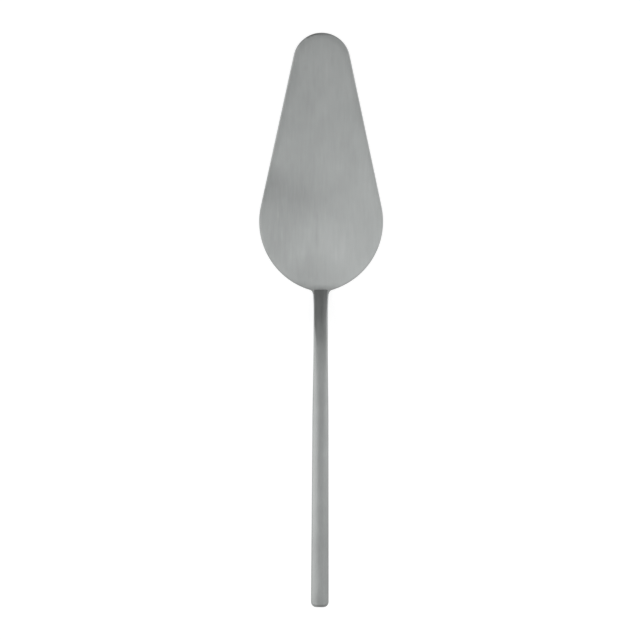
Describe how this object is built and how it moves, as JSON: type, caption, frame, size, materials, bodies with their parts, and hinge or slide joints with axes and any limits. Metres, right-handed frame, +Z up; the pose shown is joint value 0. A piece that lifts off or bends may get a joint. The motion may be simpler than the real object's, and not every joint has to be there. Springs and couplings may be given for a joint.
{
  "type": "cake server",
  "caption": "Cake server with a flat pear-shaped blade and a slim bar handle that rises from its heel, in brushed steel.",
  "frame": {"origin": "on the surface that the blade lies on, under the middle of the whole length and width", "axes": "+X to the right, +Y from the handle towards the tip of the blade, +Z up out of the blade's upper face"},
  "size_m": [0.0578, 0.265, 0.0334],
  "materials": {
    "blade_steel": "satin, brushed along the length, with a softly polished rim",
    "handle_steel": "satin, brushed along the length",
    "filler_metal": "brazing filler, dressed smooth and brushed over"
  },
  "bodies": {
    "root": {"blade": "blade_steel", "handle": "handle_steel", "braze_joint": "filler_metal"}
  },
  "joints": []
}
